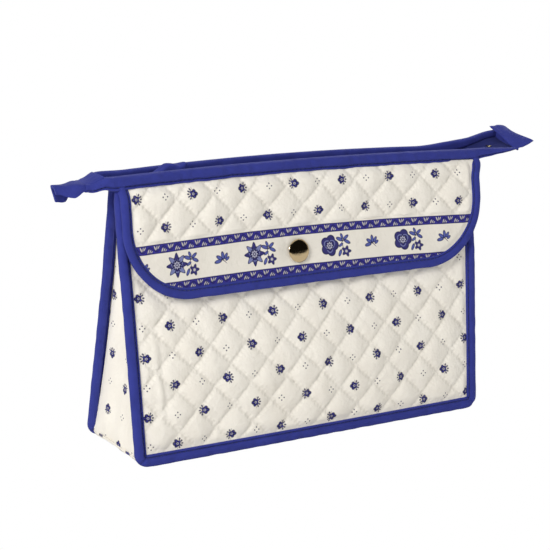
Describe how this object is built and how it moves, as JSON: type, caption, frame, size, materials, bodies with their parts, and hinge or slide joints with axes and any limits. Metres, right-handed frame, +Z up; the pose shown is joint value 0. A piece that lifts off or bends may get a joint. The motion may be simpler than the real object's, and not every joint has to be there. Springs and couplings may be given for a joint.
{
  "type": "cosmetic pouch",
  "caption": "Wedge-shaped quilted fabric toiletry pouch with bound seams, a zipped mouth with fabric tails, and a front pocket under a rounded press-stud flap.",
  "frame": {"origin": "middle of the base, on the surface that the pouch stands on", "axes": "+X to the right when facing the front, the front with its flap faces -Y, +Z up"},
  "size_m": [0.349, 0.0736, 0.1842],
  "materials": {
    "quilted_print": "diamond-quilted cotton with small navy sprigs printed on cream",
    "printed_cotton": "plain woven cotton with small navy sprigs printed on cream",
    "bias_binding": "matt royal-blue cotton bias tape",
    "lining_cotton": "plain cream cotton",
    "zip_tape": "matt royal-blue woven tape",
    "zip_coil": "satin royal-blue nylon",
    "zip_slider_enamel": "royal-blue enamel",
    "zip_stop_metal": "polished pale metal",
    "snap_cap_gold": "polished pale gold",
    "snap_steel": "polished nickel plate"
  },
  "bodies": {
    "pouch": {"base_panel": "printed_cotton", "base_lining": "lining_cotton", "pocket_panel": "quilted_print", "pocket_top_binding": "bias_binding", "front_panel": "quilted_print", "front_lining": "lining_cotton", "front_seam_binding": "bias_binding", "left_gusset": "printed_cotton", "left_gusset_lining": "lining_cotton", "right_gusset": "printed_cotton", "right_gusset_lining": "lining_cotton", "front_top_binding": "bias_binding", "left_tail_binding": "bias_binding", "right_tail_binding": "bias_binding", "left_end_tab": "bias_binding", "right_end_tab": "bias_binding", "zip_tape_front": "zip_tape", "zip_coil_front": "zip_coil", "zip_end_stop": "zip_stop_metal", "snap_stud": "snap_steel", "snap_post": "snap_steel"},
    "back_wall": {"back_panel": "quilted_print", "back_lining": "lining_cotton", "back_seam_binding": "bias_binding", "back_top_binding": "bias_binding", "zip_tape_back": "zip_tape", "zip_coil_back": "zip_coil"},
    "flap": {"flap_panel": "quilted_print", "flap_lining": "lining_cotton", "flap_binding": "bias_binding", "snap_cap": "snap_cap_gold", "snap_socket": "snap_steel"},
    "slider": {"zip_slider": "zip_slider_enamel"},
    "pull": {"zip_pull": "bias_binding"}
  },
  "joints": [
    {"name": "flap_hinge", "type": "hinge", "parent": "pouch", "child": "flap", "pos_m": [0.0045, -0.0113, 0.16715], "axis": [-1, 0, 0.0093], "range_deg": [0, 160]},
    {"name": "mouth_open", "type": "hinge", "parent": "pouch", "child": "back_wall", "pos_m": [0, 0.0368, 0], "axis": [-1, 0, 0], "range_deg": [0, 20], "deforming": ["zip_tape_back", "zip_coil_back", "left_tail_binding", "right_tail_binding"]},
    {"name": "zip_travel", "type": "slide", "parent": "pouch", "child": "slider", "axis": [1, 0, 0], "range_m": [0, 0.2]},
    {"name": "pull_swing", "type": "hinge", "parent": "slider", "child": "pull", "pos_m": [-0.105, 0.0018, 0.171], "axis": [0, -1, 0], "range_deg": [0, 150]}
  ],
  "couplings": [
    {"joint": "zip_travel", "follows": "mouth_open", "m_per_rad": 0.572}
  ]
}
